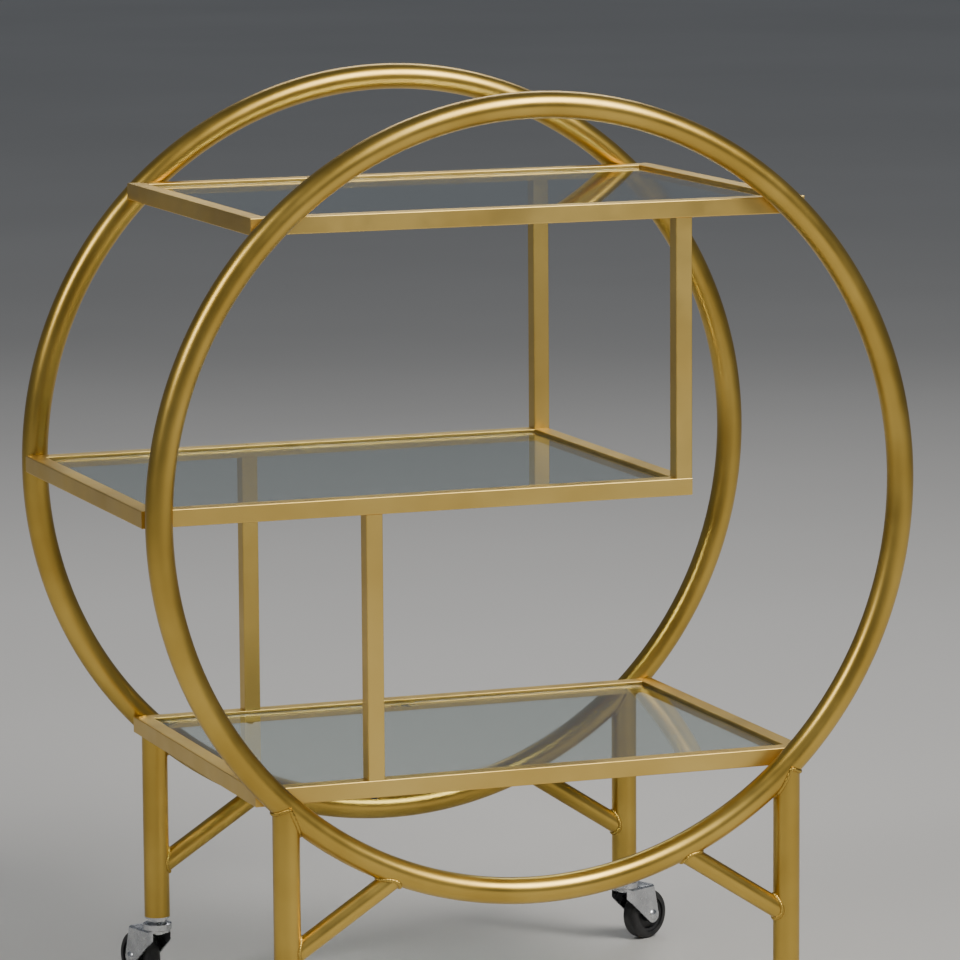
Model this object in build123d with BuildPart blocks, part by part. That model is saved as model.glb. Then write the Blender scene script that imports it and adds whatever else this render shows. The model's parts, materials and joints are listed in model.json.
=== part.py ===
from build123d import *
import math
import os

# A bar cart on wheels. Two upright tube rings stand on coped legs with diagonal braces, and three shelf
# frames of square tube run between them, each with a sheet of glass resting inside it. The middle shelf is
# staggered to the left: its left end meets the rings, and posts carry its right end and its middle.
# Millimetres. +X is the cart's right, +Y its back and +Z up; the origin is on the floor under its centre.

# Rings and legs, round tube
RING_OUTER_RADIUS = 375.0
RING_CENTRE_HEIGHT = 524.0
TUBE_DIAMETER = 25.0
TUBE_WALL = 1.5
COPE_GAP = 0.05  # between a leg's coped end and its ring, closed by the weld
LEG_X = 247.0  # from the middle of the cart to each leg's axis

# Braces, a thinner round tube from each leg up to the ring
BRACE_DIAMETER = 19.0
BRACE_WALL = 1.2
BRACE_ANGLE = 33.0  # above the horizontal
BRACE_FOOT_RISE = 47.0  # from the leg's lower end to where the two axes cross

# Shelf frames and posts, square tube
SHELF_DEPTH = 383.0  # also the clear distance between the rings
BAR = 16.0
BAR_WALL = 1.2
BAR_CORNER = 1.0
TOP_SHELF_OFFSET = 269.0  # upper face of each frame, from the ring's centre
MIDDLE_SHELF_OFFSET = 11.0
BOTTOM_SHELF_OFFSET = -250.5
MIDDLE_SHELF_RIGHT = 157.0  # the staggered shelf's free end
LOWER_POST_X = -155.0

# Glass and what it rests on
GLASS_THICKNESS = 5.0
GLASS_RECESS = 3.0  # from the frame's upper face down to the glass
GLASS_GAP = 1.0  # between the glass and the frame, all round
GLASS_CORNER = 2.0
GLASS_EDGE = 0.6  # ground chamfer
PAD_RADIUS = 4.5
PAD_THICKNESS = 1.0
PAD_INSET = 9.0  # from the frame's inner faces to a corner pad's centre
GUSSET_LEG = 30.0
TAB_LENGTH = 26.0
TAB_DEPTH = 15.0
TAB_THICKNESS = 2.0

# Screws that hold the posts, M5
SCREW_RADIUS = 2.5
SCREW_HOLE_CLEARANCE = 0.25
SCREW_GRIP = 12.0  # length of thread in a post's insert
COUNTERSINK_RADIUS = 4.6
COUNTERSINK_ANGLE = 90
BUTTON_RADIUS = 4.75
BUTTON_HEIGHT = 3.0
SOCKET_ACROSS = 3.0
SOCKET_DEPTH = 1.6
INSERT_LENGTH = 16.0
INSERT_CLEARANCE = 0.1

# Casters
WHEEL_RADIUS = 25.0
TYRE_WIDTH = 17.0
TYRE_DEPTH = 7.0
TYRE_SHOULDER = 4.5
HUB_RIM_WIDTH = 13.0
HUB_WEB = 6.0
HUB_BOSS_RADIUS = 8.0
RIM_THICKNESS = 3.0
SWIVEL_TRAIL = 30.0  # from the swivel axis to the axle
AXLE_RADIUS = 3.0
AXLE_HEAD_RADIUS = 5.5
AXLE_HEAD_HEIGHT = 2.2
RUNNING_CLEARANCE = 0.05  # radial, between a shaft and what turns on it
SIDE_CLEARANCE = 0.4  # between the hub's boss and each cheek
CHEEK_GAP = 21.0  # between the fork's two cheeks
FORK_WALL = 2.0
FORK_TOE_RADIUS = 8.0  # the cheek's round end about the axle
CROWN_FRONT = 13.0  # crown ahead of the swivel axis, where it is rounded
CROWN_BACK = 31.0  # crown behind it
CROWN_LIFT = 4.8  # between the wheel and the crown
FORK_BEND = 2.5
CUP_RADIUS = 12.0
CUP_HEIGHT = 2.6
BALL_RADIUS = 2.0
BALL_COUNT = 12
BALL_PITCH_RADIUS = 8.6
BALL_CLEARANCE = 0.1
RACE_GAP = 2.4  # between the two races' flat faces
RACE_THICKNESS = 3.6
SKIRT_GAP = 0.6
SKIRT_WALL = 1.4
NUT_ACROSS_FLATS = 17.0
NUT_HEIGHT = 3.4
KINGPIN_RADIUS = 4.0
KINGPIN_HEAD_RADIUS = 6.5
KINGPIN_HEAD_HEIGHT = 2.4
STUD_RADIUS = 4.0
STUD_LENGTH = 20.0
PLUG_FLANGE = 1.5
PLUG_LENGTH = 26.0
PLUG_CLEARANCE = 0.05

# How each swivel stands at rest: the way the wheel trails, in degrees from +X towards +Y
CASTERS = {
    "front_left": (-LEG_X, -1, -108.0),
    "front_right": (LEG_X, -1, -25.0),
    "back_left": (-LEG_X, 1, 108.0),
    "back_right": (LEG_X, 1, 25.0),
}

# Worked out from the sizes above
TUBE_RADIUS = TUBE_DIAMETER / 2
BRACE_RADIUS = BRACE_DIAMETER / 2
RING_RADIUS = RING_OUTER_RADIUS - TUBE_RADIUS
RING_Y = SHELF_DEPTH / 2 + TUBE_RADIUS
POST_Y = SHELF_DEPTH / 2 - BAR / 2
UPPER_POST_X = MIDDLE_SHELF_RIGHT - BAR / 2
CROWN_UNDERSIDE = 2 * WHEEL_RADIUS + CROWN_LIFT
CROWN_TOP = CROWN_UNDERSIDE + FORK_WALL
CUP_TOP = CROWN_TOP + CUP_HEIGHT
BALL_HEIGHT = CUP_TOP + RACE_GAP / 2
RACE_UNDERSIDE = CUP_TOP + RACE_GAP
RACE_TOP = RACE_UNDERSIDE + RACE_THICKNESS
CASTER_HEIGHT = RACE_TOP + NUT_HEIGHT
LEG_BOTTOM = CASTER_HEIGHT + PLUG_FLANGE
UP = Vector(0, 0, 1)

os.makedirs("parts", exist_ok=True)


def save(name, part):
    part.label = name
    export_step(part, f"parts/{name}.step")


def dome_midpoint(radius, height):
    # Half way along a spherical cap's profile: distance from its axis, and height above its base
    sphere = (radius**2 + height**2) / (2 * height)
    half_angle = math.asin(radius / sphere) / 2
    return sphere * math.sin(half_angle), height - sphere * (1 - math.cos(half_angle))


def frame_half_width(shelf_offset):
    # A frame's corner lines up with the ring's outer edge at the middle of the rail's height.
    middle = shelf_offset - BAR / 2
    return math.sqrt(RING_OUTER_RADIUS**2 - middle**2)


TOP_HALF_WIDTH = frame_half_width(TOP_SHELF_OFFSET)
MIDDLE_HALF_WIDTH = frame_half_width(MIDDLE_SHELF_OFFSET)
BOTTOM_HALF_WIDTH = frame_half_width(BOTTOM_SHELF_OFFSET)

# Each frame's left end, right end and upper face, the last from the ring's centre
SHELVES = {
    "top": (-TOP_HALF_WIDTH, TOP_HALF_WIDTH, TOP_SHELF_OFFSET),
    "middle": (-MIDDLE_HALF_WIDTH, MIDDLE_SHELF_RIGHT, MIDDLE_SHELF_OFFSET),
    "bottom": (-BOTTOM_HALF_WIDTH, BOTTOM_HALF_WIDTH, BOTTOM_SHELF_OFFSET),
}


def shelf_top(shelf):
    return RING_CENTRE_HEIGHT + SHELVES[shelf][2]


# ---------------------------------------------------------------- rings, legs and braces


def ring(y, radius=TUBE_RADIUS, wall=None):
    # A ring of round tube about a horizontal axis along Y; with no wall it is a solid bar, to cope tubes with
    with BuildPart() as part:
        with BuildSketch(Plane.XY.offset(RING_CENTRE_HEIGHT)):
            with Locations((RING_RADIUS, y)):
                Circle(radius)
                if wall:
                    Circle(radius - wall, mode=Mode.SUBTRACT)
        revolve(axis=Axis((0, y, RING_CENTRE_HEIGHT), (0, 1, 0)))
    return part


def leg_top():
    # Height of the ring's centreline above a leg's axis
    return RING_CENTRE_HEIGHT - math.sqrt(RING_RADIUS**2 - LEG_X**2)


def round_bar(start, end, radius, wall=None):
    with BuildPart() as part:
        with BuildSketch(Plane(origin=start, z_dir=end - start)):
            Circle(radius)
            if wall:
                Circle(radius - wall, mode=Mode.SUBTRACT)
        extrude(amount=(end - start).length)
    return part


def coped(tube, *cutters):
    # Cuts the tube's ends to the shapes they meet and keeps the piece between them.
    with BuildPart() as cut:
        add(tube.part)
        for cutter in cutters:
            add(cutter.part, mode=Mode.SUBTRACT)
    with BuildPart() as piece:
        add(cut.part.solids().sort_by(SortBy.VOLUME)[-1])
    return piece


def brace_ends(x, y):
    side = math.copysign(1, x)
    foot = Vector(x, y, LEG_BOTTOM + BRACE_FOOT_RISE)
    angle = math.radians(BRACE_ANGLE)
    run = Vector(-side * math.cos(angle), 0, math.sin(angle))
    from_centre = foot - Vector(0, y, RING_CENTRE_HEIGHT)
    along = from_centre.dot(run)
    reach = -along - math.sqrt(along**2 - from_centre.length**2 + RING_RADIUS**2)
    return foot, foot + run * reach


for side_name, y in (("front", -RING_Y), ("back", RING_Y)):
    hoop = ring(y, wall=TUBE_WALL)
    save(f"{side_name}_ring", hoop.part)

for corner, (x, y_sign, heading) in CASTERS.items():
    y = y_sign * RING_Y
    lower_end = Vector(x, y, LEG_BOTTOM)
    upper_end = Vector(x, y, leg_top() + TUBE_RADIUS / 2)
    leg_tube = round_bar(lower_end, upper_end, TUBE_RADIUS, TUBE_WALL)
    leg = coped(leg_tube, ring(y, TUBE_RADIUS + COPE_GAP))
    save(f"{corner}_leg", leg.part)

    leg_bar = round_bar(lower_end, upper_end, TUBE_RADIUS)
    brace = coped(round_bar(*brace_ends(x, y), BRACE_RADIUS, BRACE_WALL), leg_bar, ring(y))
    save(f"{corner}_brace", brace.part)


# ---------------------------------------------------------------- shelf frames

# Screw seats in the shelf frames: (x, whether the head is on the rail's upper face, countersunk or not)
SCREW_SEATS = {
    "top": [(UPPER_POST_X, True, True)],
    "middle": [(LOWER_POST_X, True, True), (UPPER_POST_X, False, True)],
    "bottom": [(LOWER_POST_X, False, False)],
}


def rail_plane(shelf, side):
    # Origin at the middle of the rail's outer edge, X along the rail and Y inwards
    left, right, _ = SHELVES[shelf]
    height = shelf_top(shelf) - BAR
    middle = (left + right) / 2
    places = {
        "front": ((middle, -SHELF_DEPTH / 2, height), (1, 0, 0), right - left),
        "back": ((middle, SHELF_DEPTH / 2, height), (-1, 0, 0), right - left),
        "left": ((left, 0, height), (0, -1, 0), SHELF_DEPTH),
        "right": ((right, 0, height), (0, 1, 0), SHELF_DEPTH),
    }
    origin, along, length = places[side]
    return Plane(origin=origin, x_dir=along, z_dir=UP), length


def mitred(length, near, far):
    # Outline between two lines parallel to the outer edge, with 45 degree ends
    return [
        (-length / 2 + near, near),
        (length / 2 - near, near),
        (length / 2 - far, far),
        (-length / 2 + far, far),
    ]


def shelf_rail(shelf, side):
    plane, length = rail_plane(shelf, side)
    with BuildPart() as rail:
        with BuildSketch(plane):
            Polygon(*mitred(length, 0, BAR), align=None)
        extrude(amount=BAR)
        fillet(rail.edges().filter_by(Axis(plane.origin, plane.x_dir)), BAR_CORNER)
        with BuildSketch(plane.offset(BAR_WALL)):
            Polygon(*mitred(length, BAR_WALL, BAR - BAR_WALL), align=None)
        extrude(amount=BAR - 2 * BAR_WALL, mode=Mode.SUBTRACT)
        for x, from_above, countersunk in SCREW_SEATS[shelf]:
            height = shelf_top(shelf) - (0 if from_above else BAR)
            for y in (-POST_Y, POST_Y):
                seat = Plane(origin=(x, y, height), z_dir=UP if from_above else -UP)
                with Locations(seat):
                    if countersunk:
                        CounterSinkHole(
                            SCREW_RADIUS + SCREW_HOLE_CLEARANCE,
                            COUNTERSINK_RADIUS,
                            depth=BAR,
                            counter_sink_angle=COUNTERSINK_ANGLE,
                        )
                    else:
                        Hole(SCREW_RADIUS + SCREW_HOLE_CLEARANCE, depth=BAR)
    return rail


for shelf in SHELVES:
    for side in ("front", "back", "left", "right"):
        rail = shelf_rail(shelf, side)
        save(f"{shelf}_shelf_{side}_rail", rail.part)


# ---------------------------------------------------------------- glass, tabs and pads


def glass_underside(shelf):
    return shelf_top(shelf) - GLASS_RECESS - GLASS_THICKNESS


def opening(shelf):
    # Inner edges of a shelf's frame: left, right, front and back
    left, right, _ = SHELVES[shelf]
    half_depth = SHELF_DEPTH / 2 - BAR
    return left + BAR, right - BAR, -half_depth, half_depth


def glass_panel(shelf):
    left, right, front, back = opening(shelf)
    with BuildPart() as panel:
        with BuildSketch(Plane.XY.offset(glass_underside(shelf))):
            with Locations(((left + right) / 2, (front + back) / 2)):
                RectangleRounded(right - left - 2 * GLASS_GAP, back - front - 2 * GLASS_GAP, GLASS_CORNER)
        extrude(amount=GLASS_THICKNESS)
        chamfer(panel.faces().filter_by(Axis.Z).edges(), GLASS_EDGE)
    return panel


for shelf in SHELVES:
    glass = glass_panel(shelf)
    save(f"{shelf}_shelf_glass", glass.part)

# A gusset in each inner corner of a frame and a tab half way along its front and back hold the glass up.
with BuildPart() as glass_tabs:
    for shelf in SHELVES:
        left, right, front, back = opening(shelf)
        with BuildSketch(Plane.XY.offset(glass_underside(shelf) - PAD_THICKNESS - TAB_THICKNESS)):
            for x, inwards in ((left, 1), (right, -1)):
                for y, forwards in ((front, 1), (back, -1)):
                    along_x = (x + inwards * GUSSET_LEG, y)
                    along_y = (x, y + forwards * GUSSET_LEG)
                    Polygon((x, y), along_x, along_y, align=None)
            with Locations(
                ((left + right) / 2, front + TAB_DEPTH / 2),
                ((left + right) / 2, back - TAB_DEPTH / 2),
            ):
                Rectangle(TAB_LENGTH, TAB_DEPTH)
        extrude(amount=TAB_THICKNESS)
save("glass_tabs", glass_tabs.part)

with BuildPart() as glass_pads:
    for shelf in SHELVES:
        left, right, front, back = opening(shelf)
        with BuildSketch(Plane.XY.offset(glass_underside(shelf) - PAD_THICKNESS)):
            with Locations(
                *[
                    (x, y)
                    for x in (left + PAD_INSET, right - PAD_INSET, (left + right) / 2)
                    for y in (front + PAD_INSET, back - PAD_INSET)
                ]
            ):
                Circle(PAD_RADIUS)
        extrude(amount=PAD_THICKNESS)
save("glass_pads", glass_pads.part)


# ---------------------------------------------------------------- posts and their screws

LOWER_POST = (shelf_top("bottom"), shelf_top("middle") - BAR)
UPPER_POST = (shelf_top("middle"), shelf_top("top") - BAR)
POSTS = {
    "lower_front": (LOWER_POST_X, -POST_Y, LOWER_POST),
    "lower_back": (LOWER_POST_X, POST_Y, LOWER_POST),
    "upper_front": (UPPER_POST_X, -POST_Y, UPPER_POST),
    "upper_back": (UPPER_POST_X, POST_Y, UPPER_POST),
}

for post_name, (x, y, (low, high)) in POSTS.items():
    with BuildPart() as post:
        with BuildSketch(Plane.XY.offset(low)):
            with Locations((x, y)):
                RectangleRounded(BAR, BAR, BAR_CORNER)
                Rectangle(BAR - 2 * BAR_WALL, BAR - 2 * BAR_WALL, mode=Mode.SUBTRACT)
        extrude(amount=high - low)
    save(f"{post_name}_post", post.part)

# A threaded insert in each end of each post
with BuildPart() as post_inserts:
    for x, y, (low, high) in POSTS.values():
        for start in (low, high - INSERT_LENGTH):
            with BuildSketch(Plane.XY.offset(start)):
                with Locations((x, y)):
                    width = BAR - 2 * BAR_WALL - 2 * INSERT_CLEARANCE
                    Rectangle(width, width)
                    Circle(SCREW_RADIUS, mode=Mode.SUBTRACT)
            extrude(amount=INSERT_LENGTH)
save("post_inserts", post_inserts.part)


def screw_profile(plane, countersunk):
    # Half section in a plane whose X runs out from the screw's axis and whose Y runs against its thread
    tip = -BAR - SCREW_GRIP
    with BuildSketch(plane) as profile:
        with BuildLine():
            if countersunk:
                cone = COUNTERSINK_RADIUS - SCREW_RADIUS
                rim = (COUNTERSINK_RADIUS, 0)
                Polyline((0, 0), rim, (SCREW_RADIUS, -cone), (SCREW_RADIUS, tip), (0, tip))
                Line((0, tip), (0, 0))
            else:
                crown = (0, BUTTON_HEIGHT)
                ThreePointArc(crown, dome_midpoint(BUTTON_RADIUS, BUTTON_HEIGHT), (BUTTON_RADIUS, 0))
                Polyline((BUTTON_RADIUS, 0), (SCREW_RADIUS, 0), (SCREW_RADIUS, tip), (0, tip), crown)
        make_face()
    return profile


def post_screws(countersunk):
    with BuildPart() as screws:
        for shelf, seats in SCREW_SEATS.items():
            for x, from_above, is_countersunk in seats:
                if is_countersunk != countersunk:
                    continue
                height = shelf_top(shelf) - (0 if from_above else BAR)
                outwards = UP if from_above else -UP
                for y in (-POST_Y, POST_Y):
                    head = Vector(x, y, height)
                    plane = Plane(origin=head, x_dir=(1, 0, 0), z_dir=Vector(1, 0, 0).cross(outwards))
                    revolve(screw_profile(plane, countersunk).sketch, axis=Axis(head, outwards))
                    top_of_head = head + outwards * (0 if countersunk else BUTTON_HEIGHT)
                    with BuildSketch(Plane(origin=top_of_head, z_dir=outwards)):
                        RegularPolygon(SOCKET_ACROSS / 2, 6, major_radius=False)
                    extrude(amount=-SOCKET_DEPTH, mode=Mode.SUBTRACT)
    return screws


for group, countersunk in (("post_screws", True), ("post_bolts", False)):
    screws = post_screws(countersunk)
    save(group, screws.part)

# A threaded plug in the foot of each leg takes the caster's stud.
with BuildPart() as leg_inserts:
    for x, y_sign, heading in CASTERS.values():
        with BuildSketch(Plane.XY.offset(CASTER_HEIGHT)):
            with Locations((x, y_sign * RING_Y)):
                Circle(TUBE_RADIUS)
                Circle(STUD_RADIUS, mode=Mode.SUBTRACT)
        extrude(amount=PLUG_FLANGE)
        with BuildSketch(Plane.XY.offset(LEG_BOTTOM)):
            with Locations((x, y_sign * RING_Y)):
                Circle(TUBE_RADIUS - TUBE_WALL - PLUG_CLEARANCE)
                Circle(STUD_RADIUS, mode=Mode.SUBTRACT)
        extrude(amount=PLUG_LENGTH)
save("leg_inserts", leg_inserts.part)


# ---------------------------------------------------------------- casters


def ball_groove(side_plane):
    with BuildSketch(side_plane) as groove:
        with Locations((BALL_PITCH_RADIUS, BALL_HEIGHT)):
            Circle(BALL_RADIUS + BALL_CLEARANCE)
    return groove


def caster_stem(side_plane, swivel):
    # Upper race with its skirt, the kingpin riveted under the fork, a hexagon and the stud, in one piece
    skirt_inner = CUP_RADIUS + SKIRT_GAP
    skirt_outer = skirt_inner + SKIRT_WALL
    skirt_bottom = CROWN_TOP + SKIRT_GAP
    head_top = CROWN_UNDERSIDE - BALL_CLEARANCE
    with BuildPart() as stem:
        with BuildSketch(side_plane):
            with BuildLine():
                Polyline(
                    (0, head_top - KINGPIN_HEAD_HEIGHT),
                    (KINGPIN_HEAD_RADIUS, head_top - KINGPIN_HEAD_HEIGHT),
                    (KINGPIN_HEAD_RADIUS, head_top),
                    (KINGPIN_RADIUS, head_top),
                    (KINGPIN_RADIUS, RACE_UNDERSIDE),
                    (skirt_inner, RACE_UNDERSIDE),
                    (skirt_inner, skirt_bottom),
                    (skirt_outer, skirt_bottom),
                    (skirt_outer, RACE_UNDERSIDE + RACE_THICKNESS / 3),
                    (skirt_inner - RACE_THICKNESS, RACE_TOP),
                    (0, RACE_TOP),
                    close=True,
                )
            make_face()
        revolve(axis=swivel)
        with BuildSketch(Plane(origin=swivel.position + UP * RACE_TOP)):
            RegularPolygon(NUT_ACROSS_FLATS / 2, 6, major_radius=False)
        extrude(amount=NUT_HEIGHT)
        with BuildSketch(Plane(origin=swivel.position + UP * CASTER_HEIGHT)):
            Circle(STUD_RADIUS)
        extrude(amount=STUD_LENGTH)
        revolve(ball_groove(side_plane).sketch, axis=swivel, mode=Mode.SUBTRACT)
    return stem


def swivel_balls(swivel):
    with BuildPart() as balls:
        with Locations(Plane(origin=swivel.position + UP * BALL_HEIGHT)):
            with PolarLocations(BALL_PITCH_RADIUS, BALL_COUNT):
                Sphere(BALL_RADIUS)
    return balls


def caster_fork(side_plane, swivel):
    # Sheet bent into a crown, rounded at the front, and two cheeks that narrow to a round toe about the axle
    half_width = CHEEK_GAP / 2 + FORK_WALL
    with BuildPart() as fork:
        with BuildSketch(side_plane):
            with Locations((SWIVEL_TRAIL, WHEEL_RADIUS)):
                Circle(FORK_TOE_RADIUS)
            with Locations(((CROWN_BACK - CROWN_FRONT) / 2, CROWN_TOP - FORK_BEND)):
                Rectangle(CROWN_FRONT + CROWN_BACK, 2 * FORK_BEND)
            make_hull()
        extrude(amount=half_width, both=True)
        crown_edges = fork.faces().sort_by(Axis.Z)[-1].edges()
        fillet(crown_edges.filter_by(Axis(swivel.position, side_plane.x_dir)), FORK_BEND)
        with BuildSketch(Plane(origin=swivel.position, x_dir=side_plane.x_dir, z_dir=UP)):
            with Locations((half_width - CROWN_FRONT, 0)):
                Circle(half_width)
            with Locations((SWIVEL_TRAIL, 0)):
                Rectangle(2 * (SWIVEL_TRAIL + CROWN_FRONT - half_width), 2 * half_width)
        extrude(amount=CROWN_TOP, mode=Mode.INTERSECT)
        with BuildSketch(side_plane):
            with Locations(((CROWN_BACK - CROWN_FRONT) / 2, CROWN_UNDERSIDE / 2)):
                Rectangle(4 * (CROWN_FRONT + CROWN_BACK), CROWN_UNDERSIDE)
        extrude(amount=CHEEK_GAP / 2, both=True, mode=Mode.SUBTRACT)
        with BuildSketch(Plane(origin=swivel.position + UP * CROWN_TOP)):
            Circle(CUP_RADIUS)
        extrude(amount=CUP_HEIGHT)
        with BuildSketch(Plane(origin=swivel.position)):
            Circle(KINGPIN_RADIUS + RUNNING_CLEARANCE)
        extrude(amount=CASTER_HEIGHT, mode=Mode.SUBTRACT)
        with BuildSketch(side_plane):
            with Locations((SWIVEL_TRAIL, WHEEL_RADIUS)):
                Circle(AXLE_RADIUS)
        extrude(amount=2 * half_width, both=True, mode=Mode.SUBTRACT)
        revolve(ball_groove(side_plane).sketch, axis=swivel, mode=Mode.SUBTRACT)
    return fork


def caster_axle(axle_plane, axle_axis):
    # Rivet through both cheeks, with a rounded head outside each
    face = CHEEK_GAP / 2 + FORK_WALL
    outside = face + AXLE_HEAD_HEIGHT
    dome_radius, dome_height = dome_midpoint(AXLE_HEAD_RADIUS, AXLE_HEAD_HEIGHT)
    with BuildPart() as axle:
        with BuildSketch(axle_plane):
            with BuildLine():
                ThreePointArc((-outside, 0), (-face - dome_height, dome_radius), (-face, AXLE_HEAD_RADIUS))
                Polyline(
                    (-face, AXLE_HEAD_RADIUS),
                    (-face, AXLE_RADIUS),
                    (face, AXLE_RADIUS),
                    (face, AXLE_HEAD_RADIUS),
                )
                ThreePointArc((face, AXLE_HEAD_RADIUS), (face + dome_height, dome_radius), (outside, 0))
                Line((outside, 0), (-outside, 0))
            make_face()
        revolve(axis=axle_axis)
    return axle


def wheel_hub(axle_plane, axle_axis):
    rim_outer = WHEEL_RADIUS - TYRE_DEPTH
    rim_inner = rim_outer - RIM_THICKNESS
    bore = AXLE_RADIUS + RUNNING_CLEARANCE
    boss_width = CHEEK_GAP - 2 * SIDE_CLEARANCE
    with BuildPart() as hub:
        with BuildSketch(axle_plane):
            with Locations((0, (rim_outer + bore) / 2)):
                Rectangle(HUB_WEB, rim_outer - bore)
            with Locations((0, (rim_outer + rim_inner) / 2)):
                Rectangle(HUB_RIM_WIDTH, RIM_THICKNESS)
            with Locations((0, (HUB_BOSS_RADIUS + bore) / 2)):
                Rectangle(boss_width, HUB_BOSS_RADIUS - bore)
        revolve(axis=axle_axis)
    return hub


def wheel_tyre(axle_plane, axle_axis):
    with BuildPart() as tyre:
        with BuildSketch(axle_plane) as section:
            with Locations((0, WHEEL_RADIUS - TYRE_DEPTH / 2)):
                Rectangle(TYRE_WIDTH, TYRE_DEPTH)
            fillet(section.vertices().group_by(Axis.Y)[-1], TYRE_SHOULDER)
        revolve(axis=axle_axis)
    return tyre


for corner, (x, y_sign, heading) in CASTERS.items():
    foot = Vector(x, y_sign * RING_Y, 0)
    trail = Vector(1, 0, 0).rotate(Axis.Z, heading)
    across = UP.cross(trail)
    swivel = Axis(foot, UP)
    side_plane = Plane(origin=foot, x_dir=trail, z_dir=trail.cross(UP))
    wheel_centre = foot + trail * SWIVEL_TRAIL + UP * WHEEL_RADIUS
    axle_axis = Axis(wheel_centre, across)
    axle_plane = Plane(origin=wheel_centre, x_dir=across, z_dir=across.cross(UP))

    stem = caster_stem(side_plane, swivel)
    save(f"{corner}_caster_stem", stem.part)
    balls = swivel_balls(swivel)
    save(f"{corner}_swivel_balls", balls.part)
    fork = caster_fork(side_plane, swivel)
    save(f"{corner}_fork", fork.part)
    axle = caster_axle(axle_plane, axle_axis)
    save(f"{corner}_axle", axle.part)
    hub = wheel_hub(axle_plane, axle_axis)
    save(f"{corner}_wheel_hub", hub.part)
    tyre = wheel_tyre(axle_plane, axle_axis)
    save(f"{corner}_tyre", tyre.part)
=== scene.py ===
import json
import math

import bmesh
import bpy
from mathutils import Matrix, Vector


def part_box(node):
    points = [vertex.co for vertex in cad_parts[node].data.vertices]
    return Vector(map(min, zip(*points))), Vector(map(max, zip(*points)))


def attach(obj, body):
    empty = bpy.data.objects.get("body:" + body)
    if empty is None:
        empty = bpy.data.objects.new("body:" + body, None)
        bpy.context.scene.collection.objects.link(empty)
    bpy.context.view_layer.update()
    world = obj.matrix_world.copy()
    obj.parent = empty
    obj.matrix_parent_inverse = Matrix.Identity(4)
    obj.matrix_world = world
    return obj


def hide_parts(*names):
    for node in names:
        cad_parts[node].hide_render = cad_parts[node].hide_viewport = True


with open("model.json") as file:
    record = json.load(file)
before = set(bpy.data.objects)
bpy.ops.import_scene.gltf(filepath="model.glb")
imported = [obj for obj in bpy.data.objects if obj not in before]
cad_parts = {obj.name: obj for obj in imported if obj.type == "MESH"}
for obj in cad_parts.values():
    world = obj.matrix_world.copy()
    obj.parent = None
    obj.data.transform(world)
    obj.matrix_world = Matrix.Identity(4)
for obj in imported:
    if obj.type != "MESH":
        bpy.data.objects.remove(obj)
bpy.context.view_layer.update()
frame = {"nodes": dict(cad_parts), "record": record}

# All lengths are in metres.

# ---------------------------------------------------------------- sizes read from the frame

RING_LOW, RING_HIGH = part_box("front_ring")
TUBE_RADIUS = (RING_HIGH.y - RING_LOW.y) / 2
RING_RADIUS = (RING_HIGH.x - RING_LOW.x) / 2 - TUBE_RADIUS
RING_CENTRE_Z = (RING_HIGH.z + RING_LOW.z) / 2

# ---------------------------------------------------------------- sizes and names repeated from part.py

BRACE_RADIUS = 0.0095
BRACE_ANGLE = math.radians(33)
BRACE_FOOT_RISE = 0.047  # from a leg's lower end to where the brace's axis crosses the leg's
CORNERS = ("front_left", "front_right", "back_left", "back_right")
SHELVES = ("top", "middle", "bottom")

# ---------------------------------------------------------------- camera

CAMERA_FROM_RINGS = Vector((-1.7147, -4.6717, 0.7246))  # from the middle of the rings' common axis
CAMERA_YAW = 0.3552  # radians, turned from +Y towards +X
CAMERA_PITCH = 0.1462  # radians, looking down
CAMERA_ROLL = -0.0065  # radians
LENS_MM = 198.63
SENSOR_MM = 36.0
CAMERA_REACH = 200


def make_camera():
    right = Vector((math.cos(CAMERA_YAW), -math.sin(CAMERA_YAW), 0))
    level = Vector((math.sin(CAMERA_YAW), math.cos(CAMERA_YAW), 0))
    up = Vector((0, 0, 1))
    forward = level * math.cos(CAMERA_PITCH) - up * math.sin(CAMERA_PITCH)
    top = up * math.cos(CAMERA_PITCH) + level * math.sin(CAMERA_PITCH)
    rolled_right = right * math.cos(CAMERA_ROLL) + top * math.sin(CAMERA_ROLL)
    rolled_top = top * math.cos(CAMERA_ROLL) - right * math.sin(CAMERA_ROLL)
    data = bpy.data.cameras.new("camera")
    data.lens = LENS_MM
    data.sensor_width = SENSOR_MM
    data.clip_end = CAMERA_REACH
    camera = bpy.data.objects.new("camera", data)
    bpy.context.scene.collection.objects.link(camera)
    turn = Matrix((rolled_right, rolled_top, -forward)).transposed().to_4x4()
    place = Vector((0, 0, RING_CENTRE_Z)) + CAMERA_FROM_RINGS
    camera.matrix_world = Matrix.Translation(place) @ turn
    bpy.context.scene.camera = camera


make_camera()

# ---------------------------------------------------------------- materials

# Noise mostly stays between these values, so colours and roughness are spread over that stretch of it.
DARK_STOP, LIGHT_STOP = 0.35, 0.65
SPREAD_LOW, SPREAD_HIGH = 0.3, 0.7


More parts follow.
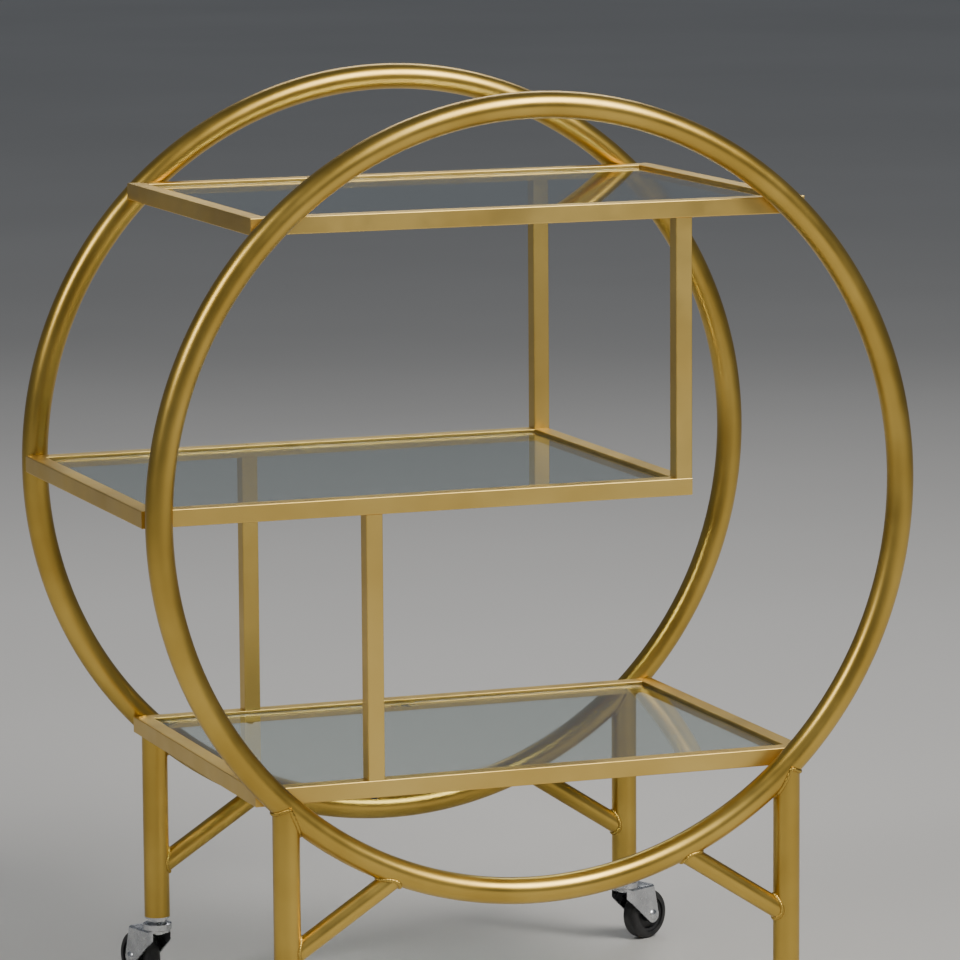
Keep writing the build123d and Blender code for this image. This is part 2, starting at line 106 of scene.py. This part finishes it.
class Shader:
    """A material's nodes, with short calls for the few kinds that are used here."""

    def __init__(self, name):
        self.material = bpy.data.materials.new(name)
        self.material.use_nodes = True
        self.tree = self.material.node_tree
        self.bsdf = self.tree.nodes["Principled BSDF"]
        self.coordinates = self.tree.nodes.new("ShaderNodeTexCoord")

    def set(self, **values):
        for socket, value in values.items():
            self.bsdf.inputs[socket.replace("_", " ")].default_value = value

    def link(self, source, target):
        self.tree.links.new(source, target)

    def noise(self, scale, detail=2.0):
        node = self.tree.nodes.new("ShaderNodeTexNoise")
        node.inputs["Scale"].default_value = scale
        node.inputs["Detail"].default_value = detail
        self.link(self.coordinates.outputs["Object"], node.inputs["Vector"])
        return node.outputs["Fac"]

    def ramp(self, source, first, second):
        """Blends two colours, each given as a pair of its place on the source and the colour."""
        node = self.tree.nodes.new("ShaderNodeValToRGB")
        for element, (position, color) in zip(node.color_ramp.elements, (first, second)):
            element.position = position
            element.color = (*color, 1)
        self.link(source, node.inputs["Fac"])
        return node.outputs["Color"]

    def spread(self, source, low, high):
        node = self.tree.nodes.new("ShaderNodeMapRange")
        node.inputs["From Min"].default_value = SPREAD_LOW
        node.inputs["From Max"].default_value = SPREAD_HIGH
        node.inputs["To Min"].default_value = low
        node.inputs["To Max"].default_value = high
        self.link(source, node.inputs["Value"])
        return node.outputs["Result"]

    def mottle(self, noise, dark, light):
        color = self.ramp(noise, (DARK_STOP, dark), (LIGHT_STOP, light))
        self.link(color, self.bsdf.inputs["Base Color"])

    def roughen(self, noise, low, high):
        self.link(self.spread(noise, low, high), self.bsdf.inputs["Roughness"])

    def bump(self, *layers):
        """Each layer is a noise, the bump's strength and its height."""
        previous = None
        for source, strength, height in layers:
            node = self.tree.nodes.new("ShaderNodeBump")
            node.inputs["Strength"].default_value = strength
            node.inputs["Distance"].default_value = height
            self.link(source, node.inputs["Height"])
            if previous:
                self.link(previous, node.inputs["Normal"])
            previous = node.outputs["Normal"]
        self.link(previous, self.bsdf.inputs["Normal"])


def gold(name, light, dark, roughness, roughness_span):
    s = Shader(name)
    s.set(Metallic=1.0)
    s.mottle(s.noise(9, detail=3), dark, light)
    s.roughen(s.noise(26, detail=4), roughness, roughness + roughness_span)
    s.bump((s.noise(60), 0.03, 0.0008), (s.noise(1800, detail=1), 0.05, 0.0001))
    return s.material


def bright_zinc():
    s = Shader("bright_zinc")
    s.set(Metallic=1.0)
    s.mottle(s.noise(60, detail=4), (0.50, 0.51, 0.53), (0.66, 0.67, 0.69))
    s.roughen(s.noise(140, detail=3), 0.18, 0.36)
    s.bump((s.noise(900), 0.08, 0.0002))
    return s.material


def dark_steel():
    s = Shader("blackened_steel")
    s.set(Metallic=1.0)
    s.mottle(s.noise(300, detail=3), (0.035, 0.032, 0.03), (0.09, 0.08, 0.07))
    s.roughen(s.noise(500), 0.35, 0.5)
    return s.material


def tyre_rubber():
    s = Shader("tyre_rubber")
    s.set(Metallic=0.0)
    s.mottle(s.noise(120, detail=4), (0.012, 0.012, 0.013), (0.028, 0.027, 0.027))
    s.roughen(s.noise(80, detail=3), 0.45, 0.68)
    s.bump((s.noise(1500, detail=3), 0.2, 0.0002))
    return s.material


def wheel_plastic():
    s = Shader("wheel_plastic")
    s.set(Metallic=0.0)
    s.mottle(s.noise(200), (0.020, 0.020, 0.022), (0.034, 0.034, 0.036))
    s.roughen(s.noise(150, detail=3), 0.34, 0.48)
    s.bump((s.noise(2200), 0.15, 0.0001))
    return s.material


def silicone():
    s = Shader("clear_silicone")
    s.set(Metallic=0.0, Transmission_Weight=0.6)
    s.mottle(s.noise(300), (0.72, 0.74, 0.72), (0.84, 0.86, 0.84))
    s.roughen(s.noise(400), 0.3, 0.45)
    return s.material


# How far a surface of the glass faces up or down, from 0 on an edge to 1 on a face
EDGE_FACING = 0.2
FACE_FACING = 0.8
SMOOTH_FACING = 0.9  # from here on there is nothing left of the edge's ground roughness
EDGE_COLOR = (0.42, 0.72, 0.58)
FACE_COLOR = (0.86, 0.94, 0.895)
EDGE_ROUGHNESS = 0.35


def shelf_glass():
    """Clear glass with faint smudges on its faces and greener, ground edges."""
    s = Shader("shelf_glass")
    s.set(Metallic=0.0, IOR=1.5, Transmission_Weight=1.0)
    normal = s.tree.nodes.new("ShaderNodeSeparateXYZ")
    s.link(s.coordinates.outputs["Normal"], normal.inputs["Vector"])
    facing = s.tree.nodes.new("ShaderNodeMath")
    facing.operation = "ABSOLUTE"
    s.link(normal.outputs["Z"], facing.inputs[0])
    color = s.ramp(facing.outputs[0], (EDGE_FACING, EDGE_COLOR), (FACE_FACING, FACE_COLOR))
    s.link(color, s.bsdf.inputs["Base Color"])
    smudges = s.spread(s.noise(7, detail=5), 0.0, 0.03)
    ground = s.tree.nodes.new("ShaderNodeMapRange")
    ground.inputs["From Min"].default_value = EDGE_FACING
    ground.inputs["From Max"].default_value = SMOOTH_FACING
    ground.inputs["To Min"].default_value = EDGE_ROUGHNESS
    s.link(facing.outputs[0], ground.inputs["Value"])
    s.link(smudges, ground.inputs["To Max"])
    s.link(ground.outputs["Result"], s.bsdf.inputs["Roughness"])
    return s.material


MATERIALS = {
    # gold_tube and gold_bar are one gold finish. gold_tube's darker colours are painted shade, standing
    # in for the dark surroundings that the round rings, legs and braces reflect.
    "gold_tube": gold("gold_tube", (0.60, 0.41, 0.095), (0.46, 0.30, 0.06), 0.28, 0.08),
    "gold_bar": gold("gold_bar", (0.77, 0.55, 0.165), (0.67, 0.46, 0.125), 0.34, 0.10),
    "zinc": bright_zinc(),
    "dark_steel": dark_steel(),
    "tyre": tyre_rubber(),
    "wheel_plastic": wheel_plastic(),
    "pads": silicone(),
    "glass": shelf_glass(),
}


def dress(obj, slot):
    obj.data.materials.clear()
    obj.data.materials.append(MATERIALS[slot])


for part in frame["record"]["subparts"]:
    dress(frame["nodes"][part["node"]], part["material_slot"])

# ---------------------------------------------------------------- pieces made here


def add_piece(name, bm, slot, *replaced):
    bmesh.ops.recalc_face_normals(bm, faces=bm.faces)
    for face in bm.faces:
        face.smooth = True
    mesh = bpy.data.meshes.new(name)
    bm.to_mesh(mesh)
    bm.free()
    piece = bpy.data.objects.new(name, mesh)
    bpy.context.scene.collection.objects.link(piece)
    dress(piece, slot)
    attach(piece, "frame")
    if replaced:
        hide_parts(*replaced)


def full_turn(steps):
    return [2 * math.pi * i / steps for i in range(steps)]


def sweep(bm, sections, closed):
    """Joins round sections in a row, each a list of the same number of points."""
    rows = [[bm.verts.new(point) for point in section] for section in sections]
    sides = len(rows[0])
    for i in range(len(rows) if closed else len(rows) - 1):
        near, far = rows[i], rows[(i + 1) % len(rows)]
        for k in range(sides):
            bm.faces.new((near[k], near[(k + 1) % sides], far[(k + 1) % sides], far[k]))
    if not closed:
        bm.faces.new(rows[0])
        bm.faces.new(rows[-1])


def round_section(centre, across, other, radius, sides):
    return [centre + radius * (math.cos(t) * across + math.sin(t) * other) for t in full_turn(sides)]


# Rings

RING_STEPS = 360
RING_SIDES = 48


def ring_tube(name, y):
    sections = []
    for turn in full_turn(RING_STEPS):
        out = Vector((math.cos(turn), 0, math.sin(turn)))
        centre = Vector((0, y, RING_CENTRE_Z)) + RING_RADIUS * out
        sections.append(round_section(centre, out, Vector((0, 1, 0)), TUBE_RADIUS, RING_SIDES))
    bm = bmesh.new()
    sweep(bm, sections, closed=True)
    add_piece(f"{name}_tube", bm, "gold_tube", name)


# Weld beads

BEAD_RADIUS = 0.0020
BEAD_SIDES = 8
BEAD_STEPS = 120
RIPPLE = 0.16  # share of the bead's radius
RIPPLE_LENGTH = 0.0022
TAPER = 1 / 6  # share of an open bead's length that thins out at each end
TAPER_START = 0.15  # the bead's section at its very end, as a share of its full section

CONTACT_BEAD_RADIUS = 0.0018
CONTACT_BEAD_STEPS = 20
CONTACT_BEAD_OFFSET = 0.0055  # from the line where a ring touches a rail
CONTACT_BEAD_LIFT = 0.4  # how far its middle stands off the rail, as a share of its radius
RAIL_MARGIN = 0.1  # share of the rail's height that stays bare above and below the bead


def bead(name, path, radius, closed):
    """A weld bead along a path, with the low ripples that a torch leaves."""
    sections = []
    travelled = 0.0
    count = len(path)
    for i, point in enumerate(path):
        if closed:
            along = path[(i + 1) % count] - path[i - 1]
        else:
            along = path[min(i + 1, count - 1)] - path[max(i - 1, 0)]
        if i:
            travelled += (point - path[i - 1]).length
        swell = 1 + RIPPLE * math.sin(2 * math.pi * travelled / RIPPLE_LENGTH)
        if not closed:
            from_end = min(i, count - 1 - i) / (count * TAPER)
            swell *= math.sqrt(min(1.0, TAPER_START + from_end))
        across = along.orthogonal().normalized()
        other = along.normalized().cross(across)
        sections.append(round_section(point, across, other, radius * swell, BEAD_SIDES))
    bm = bmesh.new()
    sweep(bm, sections, closed)
    add_piece(name, bm, "gold_tube")


def ring_reach(y_offset):
    """Distance from the ring's axis to its outer surface, that far along Y from its middle."""
    return RING_RADIUS + math.sqrt(TUBE_RADIUS**2 - y_offset**2)


def leg_bead(corner, x, y):
    """A bead round the leg's top, where its surface meets the ring's."""
    path = []
    for turn in full_turn(BEAD_STEPS):
        on_leg = x + TUBE_RADIUS * math.cos(turn)
        offset = TUBE_RADIUS * math.sin(turn)
        z = RING_CENTRE_Z - math.sqrt(ring_reach(offset) ** 2 - on_leg**2)
        path.append(Vector((on_leg, y + offset, z)))
    bead(f"{corner}_leg_weld", path, BEAD_RADIUS, closed=True)


def brace_beads(corner, x, y, foot_z):
    """Beads where a brace meets its leg and its ring, found on lines along its surface."""
    side = math.copysign(1, x)
    run = Vector((-side * math.cos(BRACE_ANGLE), 0, math.sin(BRACE_ANGLE)))
    normal = Vector((side * math.sin(BRACE_ANGLE), 0, math.cos(BRACE_ANGLE)))
    foot = Vector((x, 0, foot_z - RING_CENTRE_Z))
    on_leg, on_ring = [], []
    for turn in full_turn(BEAD_STEPS):
        offset = BRACE_RADIUS * math.sin(turn)
        start = foot + BRACE_RADIUS * math.cos(turn) * normal
        leg_face = x - side * math.sqrt(TUBE_RADIUS**2 - offset**2)
        to_leg = (leg_face - start.x) / run.x
        along = start.dot(run)
        to_ring = -along - math.sqrt(along**2 - start.length_squared + ring_reach(offset) ** 2)
        middle = Vector((0, y + offset, RING_CENTRE_Z))
        on_leg.append(middle + start + run * to_leg)
        on_ring.append(middle + start + run * to_ring)
    bead(f"{corner}_brace_lower_weld", on_leg, BEAD_RADIUS, closed=True)
    bead(f"{corner}_brace_upper_weld", on_ring, BEAD_RADIUS, closed=True)


def contact_beads(name, rail, x_side, ring_y):
    """Two short beads beside the line where a ring touches a rail's outer face."""
    low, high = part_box(rail)
    face_y = low.y if ring_y < 0 else high.y
    bead_y = face_y + math.copysign(1, ring_y) * CONTACT_BEAD_RADIUS * CONTACT_BEAD_LIFT
    for label, shift in (("inner", -CONTACT_BEAD_OFFSET), ("outer", CONTACT_BEAD_OFFSET)):
        path = []
        for i in range(CONTACT_BEAD_STEPS):
            rise = RAIL_MARGIN + (1 - 2 * RAIL_MARGIN) * i / (CONTACT_BEAD_STEPS - 1)
            z = low.z + (high.z - low.z) * rise
            x = x_side * math.sqrt((RING_RADIUS + shift) ** 2 - (z - RING_CENTRE_Z) ** 2)
            path.append(Vector((x, bead_y, z)))
        if low.x < path[0].x < high.x:
            bead(f"{name}_{label}_weld", path, CONTACT_BEAD_RADIUS, closed=False)


for ring_name in ("front_ring", "back_ring"):
    ring_low, ring_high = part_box(ring_name)
    ring_tube(ring_name, (ring_low.y + ring_high.y) / 2)

for corner in CORNERS:
    leg_low, leg_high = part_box(f"{corner}_leg")
    leg_x = (leg_low.x + leg_high.x) / 2
    leg_y = (leg_low.y + leg_high.y) / 2
    leg_bead(corner, leg_x, leg_y)
    brace_beads(corner, leg_x, leg_y, leg_low.z + BRACE_FOOT_RISE)

for shelf in SHELVES:
    for face, ring_y in (("front", -1), ("back", 1)):
        for end, x_side in (("left", -1), ("right", 1)):
            if (shelf, end) != ("middle", "right"):  # the middle shelf stops short of the rings there
                contact_beads(f"{shelf}_{face}_{end}", f"{shelf}_shelf_{face}_rail", x_side, ring_y)

# ---------------------------------------------------------------- floor and light

FLOOR_SIZE = 120.0
WORLD_COLOR = (0.60, 0.64, 0.70, 1)
WORLD_STRENGTH = 0.22


def make_floor():
    mesh = bpy.data.meshes.new("floor")
    half = FLOOR_SIZE / 2
    corners = [(-half, -half, 0), (half, -half, 0), (half, half, 0), (-half, half, 0)]
    mesh.from_pydata(corners, [], [(0, 1, 2, 3)])
    floor = bpy.data.objects.new("floor", mesh)
    bpy.context.scene.collection.objects.link(floor)
    s = Shader("floor")
    s.mottle(s.noise(0.6, detail=3), (0.60, 0.59, 0.575), (0.64, 0.63, 0.615))
    s.set(Roughness=0.75)
    mesh.materials.append(s.material)


def make_world():
    world = bpy.data.worlds.new("studio")
    bpy.context.scene.world = world
    world.use_nodes = True
    background = world.node_tree.nodes["Background"]
    background.inputs["Color"].default_value = WORLD_COLOR
    background.inputs["Strength"].default_value = WORLD_STRENGTH


def area_light(name, place, size, power, color=(1, 1, 1)):
    """A rectangular lamp that points at the middle of the rings' common axis."""
    data = bpy.data.lights.new(name, "AREA")
    data.shape = "RECTANGLE"
    data.size, data.size_y = size
    data.energy = power
    data.color = color
    light = bpy.data.objects.new(name, data)
    bpy.context.scene.collection.objects.link(light)
    towards = Vector((0, 0, RING_CENTRE_Z)) - Vector(place)
    light.rotation_euler = towards.to_track_quat("-Z", "Y").to_euler()
    light.location = place


make_floor()
make_world()
area_light("key", (1.4, -2.8, 3.4), (2.0, 2.0), 190, (1, 0.97, 0.92))
area_light("left", (-3.2, -1.2, 2.8), (0.9, 1.6), 60, (1, 0.98, 0.95))
area_light("rim", (1.2, 3.0, 3.0), (2.2, 1.0), 30)
